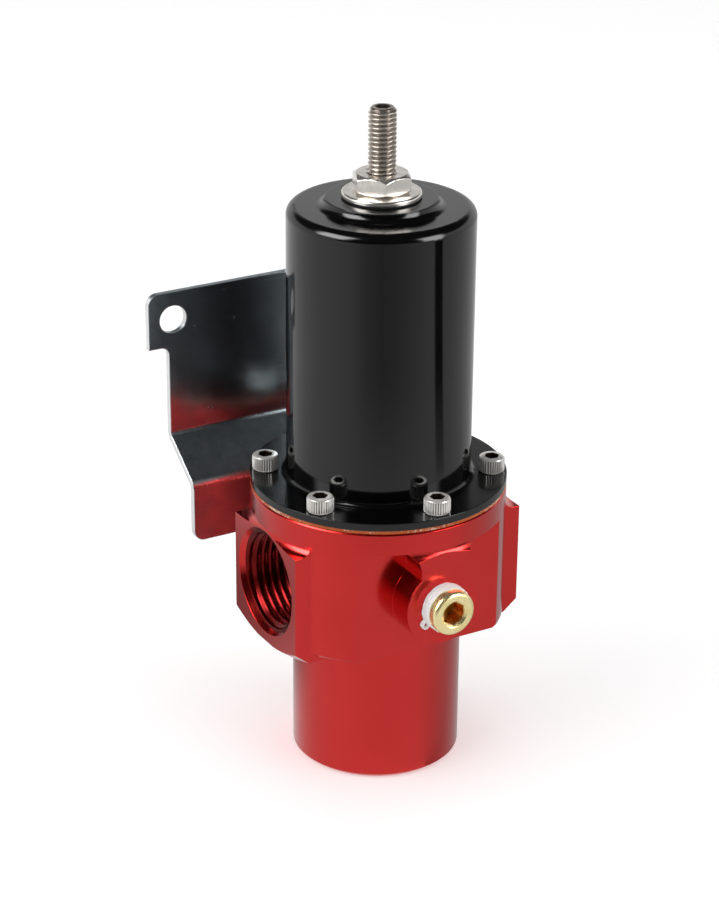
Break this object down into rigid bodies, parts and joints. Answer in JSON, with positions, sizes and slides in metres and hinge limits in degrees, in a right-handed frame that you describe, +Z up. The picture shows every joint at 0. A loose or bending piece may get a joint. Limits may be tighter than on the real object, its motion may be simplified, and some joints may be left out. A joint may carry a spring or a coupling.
{
  "type": "fuel pressure regulator",
  "caption": "Bypass fuel pressure regulator: milled body with side inlets and a bottom return, tall bonnet, adjusting screw with jam nut, and a folded mounting bracket.",
  "frame": {"origin": "on the regulator's axis at the lower face of its foot, the return port's mouth", "axes": "+Z up along the axis to the adjusting screw, -Y out of the gauge port, +Y to the bracket, X along the two inlets"},
  "size_m": [0.0732, 0.0751, 0.1517],
  "materials": {
    "red_anodised": "satin red anodised",
    "black_anodised": "gloss black anodised",
    "plain_aluminium": "machined",
    "stainless": "plain stainless",
    "zinc_plate": "bright zinc plated sheet",
    "spring_steel": "oiled spring wire",
    "brass": "machined",
    "gold_plug": "yellow plated",
    "white_tape": "matt sealing tape",
    "diaphragm_cloth": "rubbered cloth, cut edge",
    "rubber": "matt black"
  },
  "bodies": {
    "regulator": {"body": "red_anodised", "valve_seat": "brass", "seat_seal": "rubber", "diaphragm": "diaphragm_cloth", "spring": "spring_steel", "bonnet": "black_anodised", "cap_screws": "stainless", "gauge_plug": "gold_plug", "thread_tape": "white_tape", "bracket": "zinc_plate", "bracket_screws": "stainless", "bracket_washers": "stainless"},
    "valve_stack": {"valve": "stainless", "lower_plate": "plain_aluminium", "upper_plate": "plain_aluminium", "stack_nut": "stainless"},
    "spring_cap": {"spring_cap": "plain_aluminium"},
    "adjusting_screw": {"adjusting_screw": "stainless"},
    "seal_washer": {"seal_washer": "stainless", "washer_seal": "rubber"},
    "jam_nut": {"jam_nut": "stainless"}
  },
  "joints": [
    {"name": "valve_lift", "type": "slide", "parent": "regulator", "child": "valve_stack", "axis": [0, 0, 1], "range_m": [0, 0.0015], "stiffness_N_per_m": 300, "deforming": ["diaphragm", "spring"]},
    {"name": "cap_slide", "type": "slide", "parent": "regulator", "child": "spring_cap", "axis": [0, 0, 1], "range_m": [-0.01, 0.002], "deforming": ["spring"]},
    {"name": "screw_turn", "type": "hinge", "parent": "spring_cap", "child": "adjusting_screw", "pos_m": [0, 0, 0.13], "axis": [0, 0, 1], "range_deg": [-3618, 738]},
    {"name": "washer_lift", "type": "slide", "parent": "regulator", "child": "seal_washer", "axis": [0, 0, 1], "range_m": [0, 0.003]},
    {"name": "nut_turn", "type": "hinge", "parent": "seal_washer", "child": "jam_nut", "pos_m": [0, 0, 0.135], "axis": [0, 0, 1], "range_deg": [-18, 1098]}
  ],
  "couplings": [
    {"joint": "screw_turn", "follows": "cap_slide", "rad_per_m": 6283.2},
    {"joint": "nut_turn", "follows": "washer_lift", "rad_per_m": 6283.2}
  ]
}
